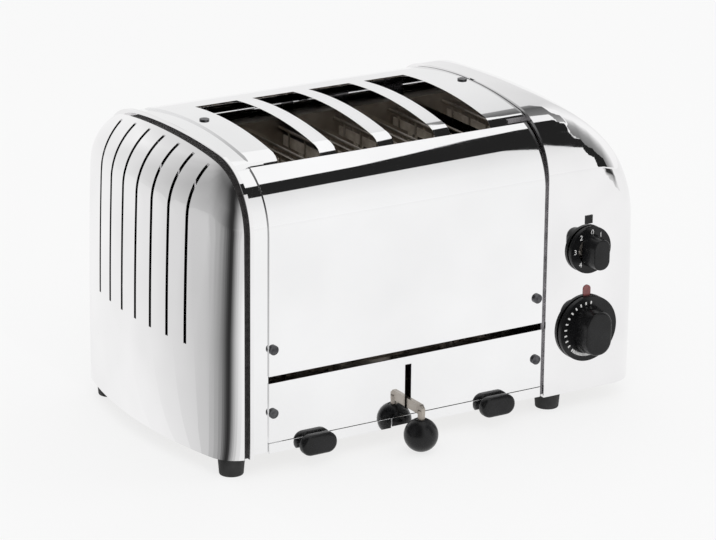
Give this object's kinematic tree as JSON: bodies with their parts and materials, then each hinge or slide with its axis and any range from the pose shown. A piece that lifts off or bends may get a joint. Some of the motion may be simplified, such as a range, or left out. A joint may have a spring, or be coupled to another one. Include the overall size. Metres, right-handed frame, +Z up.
{
  "type": "four-slice toaster",
  "caption": "Catering style bread toaster with domed cast metal ends, polished steel panels, slots along the top, a lift lever and dials.",
  "frame": {"origin": "middle of the body, in the plane of the table that the feet stand on", "axes": "+X towards the end with the dials, +Y towards the rear panel, +Z up"},
  "size_m": [0.36, 0.238, 0.222],
  "materials": {
    "polished_casting": "polished",
    "polished_steel": "polished",
    "inner_steel": "satin",
    "screw_steel": "satin",
    "black_plastic": "gloss",
    "black_rubber": "matte",
    "mica": "matte",
    "heating_wire": "satin",
    "red_lens": "gloss",
    "cream_ceramic": "satin"
  },
  "bodies": {
    "frame": {"base_plate": "inner_steel", "bread_guard_1": "inner_steel", "bread_guard_2": "inner_steel", "bread_guard_3": "inner_steel", "bread_guard_4": "inner_steel", "cord_gland": "black_plastic", "element_board_1": "mica", "element_board_2": "mica", "element_board_3": "mica", "element_board_4": "mica", "element_board_5": "mica", "element_link_bars": "inner_steel", "foot_screws": "screw_steel", "front_inner_plate": "inner_steel", "front_left_foot": "black_rubber", "front_lower_panel": "polished_steel", "front_panel_screws": "screw_steel", "front_right_foot": "black_rubber", "front_upper_panel": "polished_steel", "heating_ribbons": "heating_wire", "lamp_body": "red_lens", "lamp_lens": "red_lens", "left_end_casting": "polished_casting", "left_frame_plate": "polished_steel", "left_guide_rod": "inner_steel", "lower_guide_bracket": "inner_steel", "neck_nuts": "inner_steel", "rear_inner_plate": "inner_steel", "rear_left_foot": "black_rubber", "rear_panel": "polished_steel", "rear_panel_screws": "screw_steel", "rear_right_foot": "black_rubber", "right_end_casting": "polished_casting", "right_frame_plate": "polished_steel", "right_guide_rod": "inner_steel", "selector_mark": "black_plastic", "selector_switch": "black_plastic", "terminal_block": "cream_ceramic", "timer_body": "black_plastic", "top_cover": "polished_steel", "top_cover_screws": "screw_steel", "tray_rail": "polished_steel", "upper_guide_bracket": "inner_steel"},
    "lift": {"lift_carriage": "inner_steel", "lever_arm": "inner_steel", "lever_ball": "black_plastic", "bread_rest_1": "inner_steel", "bread_rest_2": "inner_steel", "bread_rest_3": "inner_steel", "bread_rest_4": "inner_steel"},
    "left_tray": {"left_crumb_tray": "polished_steel", "left_tray_knob": "black_plastic"},
    "right_tray": {"right_crumb_tray": "polished_steel", "right_tray_knob": "black_plastic"},
    "timer_dial": {"timer_knob": "black_plastic", "timer_shaft": "inner_steel"},
    "selector_dial": {"selector_knob": "black_plastic", "selector_shaft": "inner_steel"}
  },
  "joints": [
    {"name": "lift_slide", "type": "slide", "parent": "frame", "child": "lift", "axis": [0, 0, 1], "range_m": [0, 0.023]},
    {"name": "left_tray_slide", "type": "slide", "parent": "frame", "child": "left_tray", "axis": [0, -1, 0], "range_m": [0, 0.16]},
    {"name": "right_tray_slide", "type": "slide", "parent": "frame", "child": "right_tray", "axis": [0, -1, 0], "range_m": [0, 0.16]},
    {"name": "timer_turn", "type": "hinge", "parent": "frame", "child": "timer_dial", "pos_m": [0.122, -0.104, 0.0605], "axis": [0, 1, 0], "range_deg": [0, 300]},
    {"name": "selector_turn", "type": "hinge", "parent": "frame", "child": "selector_dial", "pos_m": [0.122, -0.104, 0.1185], "axis": [0, 1, 0], "range_deg": [0, 240]}
  ]
}
